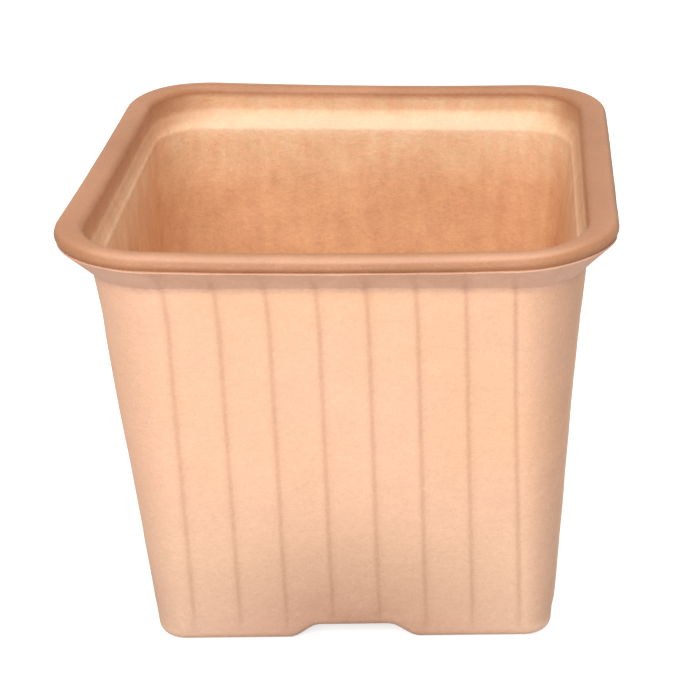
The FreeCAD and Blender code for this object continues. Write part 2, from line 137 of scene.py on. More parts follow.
OUTER_WALL_ROWS = [(UNDER_BASE, 0.0), (UNDER_BASE + 0.02, 1.0), (OUT_WALL_TOP, 1.0),
                   (OUT_WALL_TOP + 0.01, 0.0)]
# Painted shade beside the ribs, outside and faintly on the inner marks.
RIB_SHADE_ROWS = [(UNDER_BASE, 0.0), (UNDER_BASE + 0.1, 1.0), (OUT_WALL_TOP, 1.0), (LIP_LOW, 0.4),
                  (LIP_HIGH, 0.0), (IN_WALL_TOP, 0.0), (IN_WALL_TOP + 0.05, 0.1), (IN_BASE, 0.0)]
BROWN_ROWS = [(LIP_HIGH + 0.5, 0.0), (SKIRT_FOOT, 1.0), (SKIRT_SIDE, 1.0), (CROWN_OUT, 0.95),
              (CROWN_IN, 0.95), (CROWN_IN + 0.4, 0.15), (IN_COLLAR_TOP, 0.0)]
# Painted shade: the rim's brown laid on the inner band and ledge of the left and right sides.
SIDE_BAND_SHADE_ROWS = [(CROWN_IN - 0.01, 0.0), (CROWN_IN, 0.85), (IN_COLLAR_TOP, 0.55),
                   (IN_COLLAR_TOP + 0.6, 0.25), (IN_WALL_TOP, 0.15), (IN_WALL_TOP + 0.02, 0.0)]
# Painted shade: the rim's brown laid in the back-left inner corner, on the inner band and ledge.
INNER_CORNER_SHADE_ROWS = [(CROWN_IN, 0.0), (CROWN_IN + 0.2, 0.65), (IN_COLLAR_TOP + 0.4, 0.5), (IN_WALL_TOP, 0.0)]
INSIDE_ROWS = [(CROWN_OUT + 0.6, 0.0), (CROWN_IN + 0.2, 1.0), (OVER_HOLE, 1.0), (OVER_HOLE + 1, 0.0)]
# Painted shade under the rim, on the collar and the raw edge.
COLLAR_SHADE_ROWS = [(OUT_WALL_TOP - 0.004, 0.0), (OUT_WALL_TOP, 1.0), (LIP_LOW, 1.0), (LIP_HIGH, 0.6)]
# Painted highlight on the inner ledge: strong where the ledge faces front or back, faint on the left and
# right sides.
LEDGE_HIGHLIGHT_BACK_ROWS = [(IN_COLLAR_TOP - 0.1, 0.0), (IN_COLLAR_TOP + 0.4, 1.0), (IN_WALL_TOP, 1.0),
                   (IN_WALL_TOP + 0.02, 0.0)]
LEDGE_HIGHLIGHT_SIDE_ROWS = [(IN_COLLAR_TOP + 0.3, 0.0), (IN_COLLAR_TOP + 0.65, 0.12), (IN_WALL_TOP, 0.06),
                   (IN_WALL_TOP + 0.03, 0.0)]

# Unevenness of the fibre: the height, length and seed of each wave.
WALL_WAVES = [(0.30, 46.0, 1), (0.14, 17.0, 2), (0.05, 6.0, 3)]
EDGE_OUT_WAVES = [(0.16, 9.0, 4), (0.10, 3.2, 5)]
EDGE_UP_WAVES = [(0.16, 13.0, 6), (0.08, 4.0, 7)]
EDGE_SET_BACK = 0.05
WAVE_SHIFT = (17.3, 5.9, 11.1)
WAVES_START = 0.01
WAVES_FULL = 0.12

# How the dried pot departs from its mould: the rim twists, leans and sags by a few millimetres.
RIM_SHIFT = Vector((0.81, 2.05))
BODY_SHEAR = 1.45
BODY_TWIST = 3.4
TILT = Vector((-0.60, -0.32))
TILT_TWIST = -0.66
RIM_SHEAR = 1.7
RIM_TAPER = -2.18
RIM_START = 120.0
SAG_FRONT = 3.8
SAG_BACK = 1.9
SAG_START = 134.0
FRONT_BOW = 0.59
LEFT_BOW = 1.6
RIB_DRIFT = 1.7
DRIFT_START = 20.0
DRIFT_END = 105.0
DRIFT_DEPTH = (0.5, 0.72)
BODY_LEAN = -0.9
LEAN_HEIGHT = 95.0
LEAN_SPREAD = 42.0
SIDE_POWER = 8

# Where the colours lie on the sides and in the corners, and how much a painted highlight lightens the rim's
# brown on its crest. Painted shade lies beside the ribs, in the back-left inner corner and on the outer
# corners.
SIDE_FACING = (0.3, 0.9)
# How far the painted shade beside each rib is moved off its middle, onto the rib's shaded flank.
RIB_SHADE_OFFSET = 0.8
# Where the painted shade of the back-left inner corner lies, and how far it spreads.
INNER_CORNER_SHADE_PLACE = (-73.0, 73.0)
INNER_CORNER_SHADE_SPREAD = 11.0
DAMP_HALF_WIDTH = 38.0
DAMP_LOW = 4.0
DAMP_HIGH = 62.0
# Painted shade on the outer corners, in the damp's colour, stronger on the right-hand corners.
CORNER_SHADE_RIGHT = 0.6
CORNER_SHADE_LEFT = 0.35
# Painted highlight on the rim's crest: how far the brown is lightened where the bead turns up, and how much
# less on the sides and in the corners.
CREST_HIGHLIGHT_SLOPE = (0.45, 0.85)
CREST_HIGHLIGHT = 0.42
CREST_HIGHLIGHT_SIDES_LESS = 0.8
CREST_HIGHLIGHT_CORNERS_LESS = 0.6
# How much the painted highlight on the ledge is lessened in the corners.
LEDGE_HIGHLIGHT_CORNERS_LESS = 0.75

# Colours as they show on screen, from 0 to 255. A pair is mixed by one of the mottles.
LOW_WALL = ((226, 185, 159), (234, 194, 163))
HIGH_WALL = ((244, 193, 155), (247, 196, 164))
# Deep inside, the colour is darker and more orange: painted shade and painted bounce light of the hollow.
DEEP_INSIDE_SHADE = ((216, 150, 80), (242, 186, 112))
TOP_INSIDE = ((250, 196, 136), (255, 230, 182))
# The colour of the painted shade on the collar under the rim.
COLLAR_SHADE = ((214, 167, 142), (224, 179, 154))
# The rim's own brown, which is also laid as painted shade on the inner band's sides and in the back-left
# inner corner.
RIM_AND_SHADE_BROWN = ((172, 116, 79), (186, 130, 93))
# The damp's colour, also laid as painted shade on the outer corners.
DAMP_AND_CORNER_SHADE = (188, 142, 116)
# The colour of the painted highlight on the ledge.
LEDGE_HIGHLIGHT = (255, 224, 180)
# The colour of the painted shade beside the ribs.
RIB_SHADE = (170, 122, 96)

# Strengths of those colours, and the heights between which one wall colour becomes the other.
# The damp's strength serves the painted shade on the outer corners too.
DAMP_AND_CORNER_SHADE_STRENGTH = (0.6, 0.95)
TOP_CLOUDING = 0.3
LEDGE_HIGHLIGHT_STRENGTH = 0.8
COLLAR_SHADE_STRENGTH = 0.85
RIB_SHADE_STRENGTH = 0.2
WALL_BLEND = (0.08, 0.48)
INSIDE_BLEND = (0.74, 0.88)

# Mottles of the fibre: scale per metre, detail, roughness, and the range that is spread to 0 to 1.
CLOUD = (20.0, 3.0, 0.5, 0.32, 0.68)
PATCH = (75.0, 4.0, 0.62, 0.3, 0.7)
SPECK = (520.0, 3.0, 0.7, 0.28, 0.72)
GRAIN = (1700.0, 2.0, 0.6, 0.28, 0.72)
STREAK = (1.0, 4.0, 0.6, 0.3, 0.7)
STREAK_SCALE = (190.0, 190.0, 60.0)

# Single fibres lie two ways: the turn of each, and its scale per metre along three axes.
FIBRE_LAYS = (
    ((0.3, 0.5, 0.4), (500.0, 1500.0, 1500.0)),
    ((1.2, 0.2, 1.3), (1500.0, 500.0, 1500.0)),
)
FIBRE_RANGE = (0.75, 1.25)

# How far the mottles lighten and darken the colour, and the strength and depth in metres of their relief.
PATCH_SHADE = (0.965, 1.02)
SPECK_SHADE = 0.035
GRAIN_SHADE = 0.05
FIBRE_SHADE = 0.02
GRAIN_RELIEF = 0.5
FIBRE_RELIEF = 0.3
FINE_BUMP = (0.3, 0.00012)
MEDIUM_BUMP = (0.25, 0.0004)
COARSE_BUMP = (0.3, 0.0009)

ROUGHNESS = (0.62, 0.78)
INSIDE_POLISH = 0.14
RIM_POLISH = 0.24
SPECULAR = 0.4
SHARP_ANGLE = math.radians(50.0)

# The studio, in metres: a white floor and sky, and two lamps.
WHITE = (1.0, 1.0, 1.0, 1.0)
FLOOR_HALF = 4.0
FLOOR_DROP = 0.0002
FLOOR_GREY = (0.62, 0.62, 0.62, 1.0)
FLOOR_GLOW = 0.72
SKY_STRENGTH = 0.58
LAMP_AIM = (0.0, 0.0, 0.08)

# Camera: the photograph's frame and what its lines gave.
FRAME_WIDTH = 688.0
FRAME_HEIGHT = 692.0
SENSOR = 36.0
FOCAL_PIXELS = 2345.67
CAMERA_AIM_HEIGHT = 63.2
CAMERA_DISTANCE = 838.99
CAMERA_AZIMUTH = math.radians(1.354)
CAMERA_ELEVATION = math.radians(24.924)
CAMERA_ROLL = math.radians(-1.455)
CAMERA_TURN = (-0.00364, 0.01866)


def unit(vector):
    """The vector at length 1."""
    return vector / np.linalg.norm(vector)


def smooth(values, start, end):
    """0 before start, 1 after end, and an S between them."""
    t = np.clip((np.asarray(values, float) - start) / (end - start), 0.0, 1.0)
    return t * t * (3.0 - 2.0 * t)


def middle_line():
    """Corners of the sheet's middle line, from the middle drain hole to the outer side of the rim."""
    half = SHEET / 2
    wall_top = POT_HEIGHT - RIM_HEIGHT
    skirt = RIM_HALF - LIP_REACH - half
    band = WALL_TOP_HALF - half + COLLAR_REACH
    crown = POT_HEIGHT - half
    return np.array([
        (DRAIN_RADIUS, half),
        (BASE_HALF - half, half),
        (WALL_TOP_HALF - half, wall_top),
        (band, wall_top + COLLAR_RISE),
        (band + BAND_LEAN, crown),
        (skirt, crown),
        (skirt, crown - SKIRT_DEPTH),
    ])


def offset_path(corners, distance):
    """The open path moved to its left by the distance, mitred at its corners."""
    runs = np.diff(corners, axis=0)
    runs /= np.linalg.norm(runs, axis=1)[:, None]
    lefts = np.stack([-runs[:, 1], runs[:, 0]], 1)
    moved = [corners[0] + distance * lefts[0]]
    for corner, before, after in zip(corners[1:-1], lefts, lefts[1:]):
        mitre = before + after
        moved.append(corner + mitre * (2.0 * distance / (mitre @ mitre)))
    moved.append(corners[-1] + distance * lefts[-1])
    return np.array(moved)


def corner_arc(before, corner, after, radius):
    """Points of the arc that rounds a corner, between the corner before it and the one after."""
    back = unit(before - corner)
    on = unit(after - corner)
    half = math.acos(float(np.clip(back @ on, -1.0, 1.0))) / 2
    reach = radius / math.tan(half)
    centre = corner + unit(back + on) * radius / math.sin(half)
    start = corner + back * reach - centre
    end = corner + on * reach - centre
    swept = math.pi - 2 * half
    steps = max(2, math.ceil(swept / ARC_STEP))
    points = []
    for t in np.linspace(0.0, 1.0, steps + 1):
        spoke = (math.sin((1 - t) * swept) * start + math.sin(t * swept) * end) / math.sin(swept)
        points.append(centre + spoke)
    return points


def rounded_loop(corners, bends):
    """Points round a closed loop with an arc in each corner, and how far along the corners each point is.

    A point in the arc of corner k is at k, and one on the run after it is between k and k + 1.
    """
    count = len(corners)
    arcs = []
    for k in range(count):
        arcs.append(corner_arc(corners[k - 1], corners[k], corners[(k + 1) % count], bends[k][0]))
    places = []
    along = []
    for k in range(count):
        places += arcs[k]
        along += [float(k)] * len(arcs[k])
        start = arcs[k][-1]
        end = arcs[(k + 1) % count][0]
        steps = max(1, math.ceil(np.linalg.norm(end - start) / bends[k][1]))
        for t in np.linspace(0.0, 1.0, steps + 1)[1:-1]:
            places.append(start + (end - start) * t)
            along.append(k + t)
    return np.array(places), np.array(along)


def section():
    """The closed section: its points as (out, up), how far along the corners they are, and their normals."""
    line = middle_line()
    outer = offset_path(line, -SHEET / 2)
    inner = offset_path(line, SHEET / 2)
    bead = [(RIDGE_OUT, RIDGE_LOW), (RIDGE_OUT, RIDGE_HIGH), BEAD_FOOT, BEAD_SIDE]
    corners = np.concatenate([outer[:LIP_LOW], bead, inner[5::-1]])
    places, along = rounded_loop(corners, LOOP_BENDS)
    tangents = np.roll(places, -1, 0) - np.roll(places, 1, 0)
    tangents /= np.linalg.norm(tangents, axis=1)[:, None]
    normals = np.stack([tangents[:, 1], -tangents[:, 0]], 1)
    return places, along, normals


def rib_middles():
    """Where the ribs stand along a side."""
    first = RIB_PITCH * (RIB_COUNT - 1) / 2
    return np.array([first - RIB_PITCH * k for k in range(RIB_COUNT)])


def rib_profile(distance):
    """Height of a rib, from 0 to 1, at a distance from the nearest rib's middle."""
    share = np.clip(np.abs(distance) / RIB_HALF_WIDTH, 0.0, 1.0)
    return 0.5 + 0.5 * np.cos(math.pi * share)


def side_stations():
    """Places along one flat side, close together over each rib."""
    places = []
    for middle in sorted(rib_middles()):
        if places:
            places += list(np.linspace(places[-1], middle - RIB_HALF_WIDTH, GAP_POINTS)[1:-1])
        places += list(middle + RIB_POINTS * RIB_HALF_WIDTH)
    return np.array([-CORNER_CENTRE] + places + [CORNER_CENTRE])


def ring():
    """Round the ring: quarter number, share of the way along the flat side, angle turned in the corner."""
    shares = side_stations() / CORNER_CENTRE
    angles = np.linspace(0.0, math.pi / 2, CORNER_STEPS + 1)[1:-1]
    quarter_shares = np.concatenate([shares, np.ones(len(angles))])
    quarter_angles = np.concatenate([np.zeros(len(shares)), angles])
    quarters = np.repeat(np.arange(4), len(quarter_shares))
    return quarters, np.tile(quarter_shares, 4), np.tile(quarter_angles, 4)


def turned(quarters, x, y):
    """Turns points of the side that faces +X by their number of quarter turns."""
    cos = np.array([1.0, 0.0, -1.0, 0.0])[quarters]
    sin = np.array([0.0, 1.0, 0.0, -1.0])[quarters]
    return x * cos - y * sin, x * sin + y * cos


class Grid:
    """The skin as a grid: a row for each point of the section, and a column for each station of the ring."""

    def __init__(self):
        self.places, self.along, self.normals = section()
        self.quarters, self.shares, self.angles = ring()
        self.shape = (len(self.places), len(self.shares))
        self.face_x, self.face_y = turned(self.quarters, np.cos(self.angles), np.sin(self.angles))
        self.sideways = smooth(np.abs(self.face_x), *SIDE_FACING)
        self.on_flat = self.angles == 0.0
        self.in_corner = np.sin(2.0 * self.angles)
        self.along_side = self.shares * CORNER_CENTRE

    def rows(self, profile):
        """A profile's share at each row, as a column."""
        keys, shares = zip(*profile)
        return np.interp(self.along, keys, shares)[:, None]

    def ribs(self, offset=0.0):
        """1 over the middle of a rib and 0 beside it, with the ribs moved along the side by the offset."""
        distances = self.along_side[None, :] - rib_middles()[:, None] - offset
        return rib_profile(np.min(np.abs(distances), axis=0)) * self.on_flat

    def colours(self, *channels):
        """Three channels as one colour for each vertex."""
        full = [np.broadcast_to(channel, self.shape).ravel() for channel in channels]
        return np.stack(full + [np.ones(len(full[0]))], 1)

    def quads(self):
        """The skin's faces. The last row joins on to the first, and the last column too."""
        here = np.arange(self.shape[0] * self.shape[1]).reshape(self.shape)
        next_row = np.roll(here, -1, 0)
        corners = [here, np.roll(here, -1, 1), np.roll(next_row, -1, 1), next_row]
        return np.stack(corners, 2).reshape(-1, 4)


def carried_round(grid):
    """The section carried round the ring: x, y and height of each point."""
    out = grid.places[:, :1]
    radius = np.maximum(np.minimum(out, FLOOR_CORNER_RADIUS), out - CORNER_CENTRE)
    centre = out - radius
    x_side = centre + radius * np.cos(grid.angles)
    y_side = centre * grid.shares + radius * np.sin(grid.angles)
    x, y = turned(grid.quarters, x_side, y_side)
    return x, y, np.repeat(grid.places[:, 1:], grid.shape[1], 1)


def channel_lift(x, y):
    """How far the drain cross raises the floor: a flat roof and a shoulder that is an S."""
    edge = CHANNEL_ROOF_HALF + CHANNEL_SHOULDER
    across_x = 1.0 - smooth(np.abs(y), CHANNEL_ROOF_HALF, edge)
    across_y = 1.0 - smooth(np.abs(x), CHANNEL_ROOF_HALF, edge)
    return CHANNEL_HEIGHT * np.maximum(across_x, across_y)


def moulded(grid):
    """The shape before it dries, with ribs, the bead's broad sides and the drain cross: x, y and height."""
    x, y, up = carried_round(grid)

    rib = grid.ribs()
    bulge = RIB_HEIGHT * grid.rows(RIB_ROWS) * rib - INNER_MARK_DEPTH * grid.rows(INNER_MARK_ROWS) * rib
    x = x + bulge * grid.normals[:, :1] * grid.face_x
    y = y + bulge * grid.normals[:, :1] * grid.face_y
    up = up + bulge * grid.normals[:, 1:]

    inward = smooth(np.abs(grid.face_x), *SPREAD_FACING) * np.sign(grid.face_x)
    x = x - BEAD_SPREAD * grid.rows(SPREAD_ROWS) * inward

    wall_slope = (WALL_TOP_HALF - BASE_HALF) / (POT_HEIGHT - RIM_HEIGHT)
    lift = channel_lift(x, y) * (1.0 - smooth(up, SHEET, CHANNEL_FADE))
    carry = lift * wall_slope * np.clip(grid.places[:, :1] / BASE_HALF, 0.0, 1.0) ** CHANNEL_CARRY_POWER
    return x + carry * grid.face_x, y + carry * grid.face_y, up + lift


def waves(points, table):
    """Smooth noise at each point, summed over the waves of a table."""
    total = 0.0
    for height, length, seed in table:
        shift = Vector([seed * step for step in WAVE_SHIFT])
        total = total + height * np.array([noise.noise(Vector(p) / length + shift) for p in points])
    return total


def uneven(grid, points):
    """Moves the walls in and out by the fibre's unevenness, and the raw edge also up and down."""
    face = np.tile(np.stack([grid.face_x, grid.face_y], 1), (grid.shape[0], 1))
    above_foot = smooth(points[:, 2] / POT_HEIGHT, WAVES_START, WAVES_FULL)
    points[:, :2] += face * (waves(points, WALL_WAVES) * above_foot)[:, None]
    raw_edge = np.repeat(grid.rows(RAW_EDGE_ROWS), grid.shape[1])
    edge_out = waves(points, EDGE_OUT_WAVES) - EDGE_SET_BACK
    edge_up = waves(points, EDGE_UP_WAVES)
    points[:, :2] += face * (raw_edge * edge_out)[:, None]
    points[:, 2] += raw_edge * edge_up
    return points


def settled(points):
    """The dried shape: the walls lean a little, and the rim twists and sags between its corners."""
    x, y, z = points.T
    up = z / POT_HEIGHT
    side = x / RIM_HALF
    depth = y / RIM_HALF
    left = np.clip(-side, 0.0, 1.0) ** SIDE_POWER
    front = np.clip(-depth, 0.0, 1.0) ** SIDE_POWER
    back = np.clip(depth, 0.0, 1.0) ** SIDE_POWER
    rim = np.clip((z - RIM_START) / (POT_HEIGHT - RIM_START), 0.0, 1.0)
    sagging = np.clip((z - SAG_START) / (POT_HEIGHT - SAG_START), 0.0, 1.0)
    span = 1.0 - side ** 2
    wall_half = np.interp(z, [0.0, POT_HEIGHT - RIM_HEIGHT], [BASE_HALF, WALL_TOP_HALF])
    wall_span = np.clip(1.0 - (x / wall_half) ** 2, 0.0, 1.0)
    front_wall = smooth(-depth, *DRIFT_DEPTH)
    drift = RIB_DRIFT * wall_span * front_wall * smooth(z, DRIFT_START, DRIFT_END)
    new_x = x + up * (RIM_SHIFT.x + (BODY_SHEAR + BODY_TWIST) * depth) + drift
    new_x = new_x + rim * depth * (RIM_SHEAR + RIM_TAPER * side)
    new_x = new_x + rim * left * LEFT_BOW * (1.0 - depth ** 2)
    new_x = new_x + BODY_LEAN * np.exp(-((z - LEAN_HEIGHT) / LEAN_SPREAD) ** 2)
    new_y = y + up * (RIM_SHIFT.y - BODY_TWIST * side + FRONT_BOW * front * span)
    new_z = z + up * (TILT.x * side + TILT.y * depth + TILT_TWIST * side * depth)
    new_z = new_z - sagging * span * (SAG_FRONT * front + SAG_BACK * back)
    return np.stack([new_x, new_y, new_z], 1)


def colour_zones(grid, x, y):
    """Where the skin is the rim's brown, lightened by a painted highlight on its crest and also laid as
    painted shade on the inner band's sides and in the back-left inner corner; the inside's orange; and the
    collar's grey-brown, which is painted shade under the rim.
    """
    # Painted highlight: the rim's brown is lightened where the bead's normal turns up to the crest, and less
    # so on the sides and in the corners.
    up_to_crown = smooth(grid.normals[:, 1], *CREST_HIGHLIGHT_SLOPE)
    over_crown = np.clip(1.0 - (grid.along - CROWN_OUT), 0.0, 1.0)
    crest_highlight = np.where(grid.along <= CROWN_OUT, up_to_crown, over_crown)[:, None]
    crest_highlight = crest_highlight * (1.0 - CREST_HIGHLIGHT_SIDES_LESS * grid.sideways) * (1.0 - CREST_HIGHLIGHT_CORNERS_LESS * grid.in_corner)
    # Painted shade in the back-left inner corner.
    from_inner_corner_shade = (x - INNER_CORNER_SHADE_PLACE[0]) ** 2 + (y - INNER_CORNER_SHADE_PLACE[1]) ** 2
    inner_corner_shade = np.exp(-from_inner_corner_shade / (2.0 * INNER_CORNER_SHADE_SPREAD ** 2))
    brown_and_painted_light = grid.rows(BROWN_ROWS) * (1.0 - CREST_HIGHLIGHT * crest_highlight)
    # Painted shade on the inner band of the left and right sides.
    brown_and_painted_light = np.maximum(brown_and_painted_light, grid.rows(SIDE_BAND_SHADE_ROWS) * grid.sideways)
    brown_and_painted_light = np.maximum(brown_and_painted_light, grid.rows(INNER_CORNER_SHADE_ROWS) * inner_corner_shade)
    return grid.colours(brown_and_painted_light, grid.rows(INSIDE_ROWS), grid.rows(COLLAR_SHADE_ROWS))


def colour_marks(grid):
    """Where the skin has a painted highlight on the ledge, painted shade beside each rib, damp at its foot
    and painted shade on its outer corners.
    """
    # Painted highlight on the ledge: strong on the front and back sides, faint on the left and right, less in
    # the corners.
    ledge_highlight_back = grid.rows(LEDGE_HIGHLIGHT_BACK_ROWS)
    ledge_highlight = ledge_highlight_back + (grid.rows(LEDGE_HIGHLIGHT_SIDE_ROWS) - ledge_highlight_back) * grid.sideways
    ledge_highlight = (1.0 - LEDGE_HIGHLIGHT_CORNERS_LESS * grid.in_corner) * ledge_highlight
    # Painted shade on one flank of each rib.
    rib_shade = grid.rows(RIB_SHADE_ROWS) * grid.ribs(RIB_SHADE_OFFSET)
    low_middle = np.exp(-(grid.along_side / DAMP_HALF_WIDTH) ** 2) * grid.on_flat
    # Painted shade on the outer corners, stronger on the right.
    corner_shade = grid.in_corner * np.where(grid.face_x > 0.0, CORNER_SHADE_RIGHT, CORNER_SHADE_LEFT)
    damp_and_corner_shade = low_middle * (1.0 - smooth(grid.places[:, 1:], DAMP_LOW, DAMP_HIGH))
    damp_and_corner_shade = damp_and_corner_shade + corner_shade * grid.rows(OUTER_WALL_ROWS)
    return grid.colours(ledge_highlight, rib_shade, damp_and_corner_shade)


def punch(obj, radius, places):
    """Cuts round holes straight down through the piece."""
    tool_mesh = bpy.data.meshes.new("drain_punch")
    builder = bmesh.new()
    for x, y in places:
        matrix = Matrix.Translation((x * MM, y * MM, 0.0))
        bmesh.ops.create_cone(builder, cap_ends=True, segments=DRAIN_SEGMENTS, radius1=radius * MM,
                              radius2=radius * MM, depth=PUNCH_DEPTH * MM, matrix=matrix)
    builder.to_mesh(tool_mesh)
    builder.free()
    tool = bpy.data.objects.new("drain_punch", tool_mesh)
    bpy.context.scene.collection.objects.link(tool)
    cut = obj.modifiers.new("drain", "BOOLEAN")
    cut.operation = "DIFFERENCE"
    cut.solver = "MANIFOLD"
    cut.object = tool
    bpy.context.view_layer.update()
    evaluated = obj.evaluated_get(bpy.context.evaluated_depsgraph_get())
    done = bpy.data.meshes.new_from_object(evaluated)
    obj.modifiers.clear()
    obj.data = done
    obj.data.materials.clear()
    bpy.data.objects.remove(tool)
    bpy.data.meshes.remove(tool_mesh)


def build_pot():
    """The pot's skin as one object, with its four outer drain holes cut and its colours at each vertex."""
    grid = Grid()
    x, y, up = moulded(grid)
    layers = {"zones": colour_zones(grid, x, y), "marks": colour_marks(grid)}
    points = np.stack([x.ravel(), y.ravel(), up.ravel()], 1)
    points = settled(uneven(grid, points))

    mesh = bpy.data.meshes.new("pot")
    mesh.from_pydata((points * MM).tolist(), [], grid.quads().tolist())
    for name, values in layers.items():
        layer = mesh.attributes.new(name, "FLOAT_COLOR", "POINT")
        layer.data.foreach_set("color", values.astype(np.float32).ravel())
    mesh.validate()
    obj = bpy.data.objects.new("pot_skin", mesh)
    bpy.context.scene.collection.objects.link(obj)
    reach = DRAIN_DISTANCE
    punch(obj, DRAIN_RADIUS, [(reach, 0.0), (-reach, 0.0), (0.0, reach), (0.0, -reach)])
    obj.data.shade_smooth()
    obj.data.set_sharp_from_angle(angle=SHARP_ANGLE)
    return obj


def linear(colour):
    """A colour written as 0 to 255 on screen, as the shader wants it."""
    def one(value):
        value /= 255.0
        return value / 12.92 if value <= 0.04045 else ((value + 0.055) / 1.055) ** 2.4
    red, green, blue = colour
    return (one(red), one(green), one(blue), 1.0)


class Nodes:
    """Short calls that build a node tree."""

    def __init__(self, tree):
        self.tree = tree
        self.tree.nodes.clear()

    def add(self, kind, inputs=(), **settings):
        """A node, with values put in or other nodes' sockets linked to its inputs."""
        node = self.tree.nodes.new(kind)
        for name, value in settings.items():
            setattr(node, name, value)
        for name, value in dict(inputs).items():
            if isinstance(value, bpy.types.NodeSocket):
                self.tree.links.new(value, node.inputs[name])
            else:
                node.inputs[name].default_value = value
        return node

    def noise(self, place, scale, detail, roughness=0.5):
        """Soft noise of about 0.3 to 0.7."""
        return self.add("ShaderNodeTexNoise", {"Vector": place, "Scale": scale, "Detail": detail,
                                               "Roughness": roughness}).outputs["Fac"]

    def spread(self, value, low, high, to_low=0.0, to_high=1.0):
        """A range of a value carried over to another range."""
        return self.add("ShaderNodeMapRange", {"Value": value, "From Min": low, "From Max": high,
                                               "To Min": to_low, "To Max": to_high}).outputs["Result"]

    def mottle(self, place, scale, detail, roughness, low, high):
        """Noise, with a range of it spread to 0 to 1."""
        return self.spread(self.noise(place, scale, detail, roughness), low, high)

    def mix(self, share, first, second, blend="MIX"):
        """Two colours mixed. This node's inputs share their names, so they are given by number."""
        inputs = {0: share, 6: first, 7: second}
        return self.add("ShaderNodeMix", inputs, data_type="RGBA", blend_type=blend).outputs[2]

    def pair(self, share, colours):
        """A pair of colours mixed by a mottle."""
        return self.mix(share, linear(colours[0]), linear(colours[1]))

    def math(self, operation, first, second):
        """One sum on two values."""
        return self.add("ShaderNodeMath", {0: first, 1: second}, operation=operation).outputs[0]

    def times(self, first, second):
        """The product of two values."""
        return self.math("MULTIPLY", first, second)

    def channels(self, attribute):
        """The three channels of a colour that is kept at the vertices."""
        layer = self.add("ShaderNodeAttribute", attribute_name=attribute).outputs["Color"]
        return list(self.add("ShaderNodeSeparateColor", {0: layer}).outputs)

    def stretched(self, place, turn, scale):
        """The place turned and scaled, which draws out the noise that is laid over it."""
        return self.add("ShaderNodeMapping", {"Vector": place, "Rotation": turn, "Scale": scale}).outputs[0]


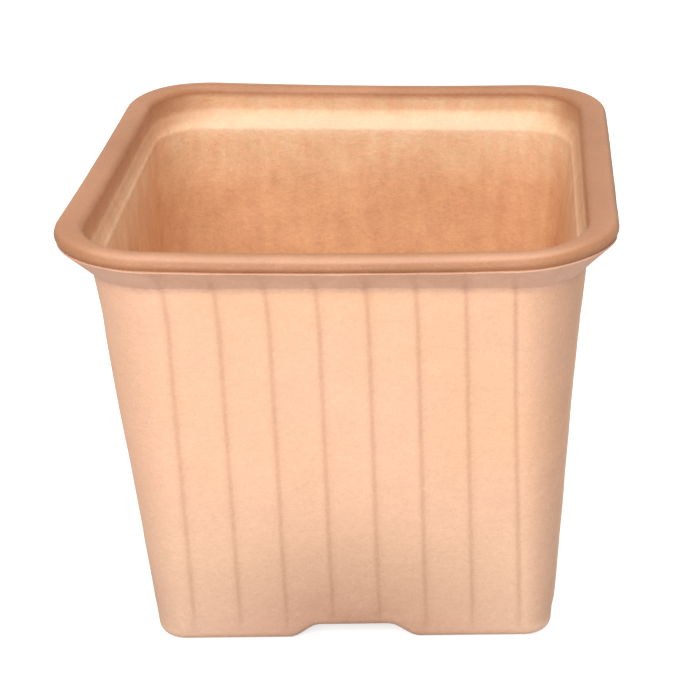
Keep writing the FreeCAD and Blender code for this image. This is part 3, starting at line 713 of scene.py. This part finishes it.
def fibre_material():
    """Pressed fibre: peach walls, a browner rim, an orange inside with painted shade deep down, damp, and
    painted highlights and shade on the rim, ledge, collar, ribs and corners, all finely mottled.
    """
    material = bpy.data.materials.new("pressed_fibre")
    material.use_nodes = True
    n = Nodes(material.node_tree)
    place = n.add("ShaderNodeTexCoord").outputs["Object"]
    # The zones' first channel is the rim's own brown, less the painted highlight on its crest, with painted
    # shade on the inner band's sides and in the back-left inner corner.
    rim, inside, collar_shade = n.channels("zones")
    # The marks' channels: painted highlight on the ledge, painted shade beside the ribs, and damp with
    # painted shade on the outer corners.
    ledge_highlight, rib_shade, damp_and_corner_shade = n.channels("marks")
    height = n.spread(n.add("ShaderNodeSeparateXYZ", {0: place}).outputs["Z"], 0.0, POT_HEIGHT * MM)

    cloud, patch, speck, grain = [n.mottle(place, *mottle) for mottle in (CLOUD, PATCH, SPECK, GRAIN)]
    streak = n.mottle(n.stretched(place, (0.0, 0.0, 0.0), STREAK_SCALE), *STREAK)
    lays = [n.noise(n.stretched(place, turn, scale), 1.0, 1.0) for turn, scale in FIBRE_LAYS]
    fibre = n.spread(n.math("ADD", *lays), *FIBRE_RANGE)

    wall = n.mix(n.spread(height, *WALL_BLEND), n.pair(cloud, LOW_WALL), n.pair(cloud, HIGH_WALL))
    # Damp at the foot, and painted shade on the outer corners.
    wall = n.mix(n.times(damp_and_corner_shade, n.spread(patch, 0.0, 1.0, *DAMP_AND_CORNER_SHADE_STRENGTH)), wall, linear(DAMP_AND_CORNER_SHADE))
    # Painted shade and painted bounce light deep in the hollow.
    deep_shade = n.pair(streak, DEEP_INSIDE_SHADE)
    top = n.mix(n.times(cloud, TOP_CLOUDING), n.pair(streak, TOP_INSIDE), deep_shade)
    colour = n.mix(inside, wall, n.mix(n.spread(height, *INSIDE_BLEND), deep_shade, top))
    # Painted highlight on the ledge.
    colour = n.mix(n.times(ledge_highlight, LEDGE_HIGHLIGHT_STRENGTH), colour, linear(LEDGE_HIGHLIGHT))
    # Painted shade on the collar under the rim.
    colour = n.mix(n.times(collar_shade, COLLAR_SHADE_STRENGTH), colour, n.pair(patch, COLLAR_SHADE))
    # The rim's brown, with its painted crest highlight and painted shade.
    colour = n.mix(rim, colour, n.pair(cloud, RIM_AND_SHADE_BROWN))
    # Painted shade beside the ribs.
    colour = n.mix(n.times(rib_shade, RIB_SHADE_STRENGTH), colour, linear(RIB_SHADE))

    shade = n.spread(patch, 0.0, 1.0, *PATCH_SHADE)
    for value, swing in ((speck, SPECK_SHADE), (grain, GRAIN_SHADE), (fibre, FIBRE_SHADE)):
        shade = n.math("ADD", shade, n.spread(value, 0.0, 1.0, -swing, swing))
    grey = n.add("ShaderNodeCombineColor", {0: shade, 1: shade, 2: shade}).outputs[0]
    colour = n.mix(1.0, colour, grey, "MULTIPLY")

    relief = n.math("ADD", n.times(grain, GRAIN_RELIEF), n.times(fibre, FIBRE_RELIEF))
    normal = {}
    for (strength, depth), value in ((FINE_BUMP, relief), (MEDIUM_BUMP, speck), (COARSE_BUMP, patch)):
        bump = n.add("ShaderNodeBump", {"Strength": strength, "Distance": depth, "Height": value, **normal})
        normal = {"Normal": bump.outputs[0]}

    polish = n.times(n.math("ADD", inside, ledge_highlight), INSIDE_POLISH)
    polish = n.math("MAXIMUM", polish, n.times(rim, RIM_POLISH))
    rough = n.math("SUBTRACT", n.spread(speck, 0.0, 1.0, *ROUGHNESS), polish)
    shader = n.add("ShaderNodeBsdfPrincipled", {"Base Color": colour, "Roughness": rough,
                                                "Specular IOR Level": SPECULAR, **normal})
    n.add("ShaderNodeOutputMaterial", {"Surface": shader.outputs[0]})
    return material


def floor_material():
    """White for the camera where the light reaches it, with the pot's shadow kept."""
    material = bpy.data.materials.new("floor")
    material.use_nodes = True
    n = Nodes(material.node_tree)
    seen = n.add("ShaderNodeLightPath").outputs["Is Camera Ray"]
    body = n.add("ShaderNodeBsdfDiffuse", {"Color": FLOOR_GREY})
    glow = n.add("ShaderNodeEmission", {"Color": WHITE, "Strength": n.times(seen, FLOOR_GLOW)})
    both = n.add("ShaderNodeAddShader", {0: body.outputs[0], 1: glow.outputs[0]})
    n.add("ShaderNodeOutputMaterial", {"Surface": both.outputs[0]})
    return material


def make_floor():
    """A large flat floor a hair below the pot's foot."""
    half = FLOOR_HALF
    corners = [(-half, -half, 0.0), (half, -half, 0.0), (half, half, 0.0), (-half, half, 0.0)]
    mesh = bpy.data.meshes.new("floor")
    mesh.from_pydata(corners, [], [(0, 1, 2, 3)])
    mesh.materials.append(floor_material())
    floor = bpy.data.objects.new("floor", mesh)
    floor.location.z = -FLOOR_DROP
    bpy.context.scene.collection.objects.link(floor)


def lamp(name, size, power, place):
    """A round lamp, aimed at the pot. Its size is in metres and its power in watts."""
    data = bpy.data.lights.new(name, "AREA")
    data.shape = "DISK"
    data.size = size
    data.energy = power
    light = bpy.data.objects.new(name, data)
    light.location = place
    light.rotation_euler = (Vector(LAMP_AIM) - Vector(place)).to_track_quat("-Z", "Y").to_euler()
    bpy.context.scene.collection.objects.link(light)


def make_world():
    """A sky that is white for the camera and lights the pot a little less brightly."""
    world = bpy.data.worlds.new("studio")
    bpy.context.scene.world = world
    world.use_nodes = True
    n = Nodes(world.node_tree)
    seen = n.add("ShaderNodeLightPath").outputs["Is Camera Ray"]
    level = n.spread(seen, 0.0, 1.0, SKY_STRENGTH, 1.0)
    sky = n.add("ShaderNodeBackground", {"Color": WHITE, "Strength": level})
    n.add("ShaderNodeOutputWorld", {"Surface": sky.outputs[0]})


def make_camera():
    """The photograph's camera: it looks at the pot's middle, is turned a little off it, and is rolled."""
    sin_az, cos_az = math.sin(CAMERA_AZIMUTH), math.cos(CAMERA_AZIMUTH)
    sin_el, cos_el = math.sin(CAMERA_ELEVATION), math.cos(CAMERA_ELEVATION)
    back = Vector((sin_az * cos_el, -cos_az * cos_el, sin_el))
    place = Vector((0.0, 0.0, CAMERA_AIM_HEIGHT)) + CAMERA_DISTANCE * back
    vertical = Vector((0.0, 0.0, 1.0))
    forward = -back
    right = forward.cross(vertical).normalized()
    upward = right.cross(forward)
    forward = (forward + CAMERA_TURN[0] * right + CAMERA_TURN[1] * upward).normalized()
    right = forward.cross(vertical).normalized()
    upward = right.cross(forward)
    cos_roll, sin_roll = math.cos(CAMERA_ROLL), math.sin(CAMERA_ROLL)
    rolled_right = cos_roll * right + sin_roll * upward
    rolled_up = cos_roll * upward - sin_roll * right
    data = bpy.data.cameras.new("camera")
    camera = bpy.data.objects.new("camera", data)
    axes = Matrix((rolled_right, rolled_up, -forward)).transposed()
    camera.matrix_world = Matrix.Translation(place * MM) @ axes.to_4x4()
    data.sensor_width = SENSOR
    data.lens = FOCAL_PIXELS * SENSOR / max(FRAME_WIDTH, FRAME_HEIGHT)
    data.clip_start = 0.05
    data.clip_end = 20.0
    bpy.context.scene.collection.objects.link(camera)
    bpy.context.scene.camera = camera


pot = build_pot()
pot.data.materials.append(fibre_material())
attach(pot, "root")
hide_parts(NODE)

make_floor()
lamp("key", size=0.9, power=16.5, place=(-0.34, -1.28, 1.06))
lamp("top", size=0.8, power=7.5, place=(0.3, -0.15, 1.5))
make_world()
make_camera()
bpy.context.scene.view_settings.view_transform = "Standard"
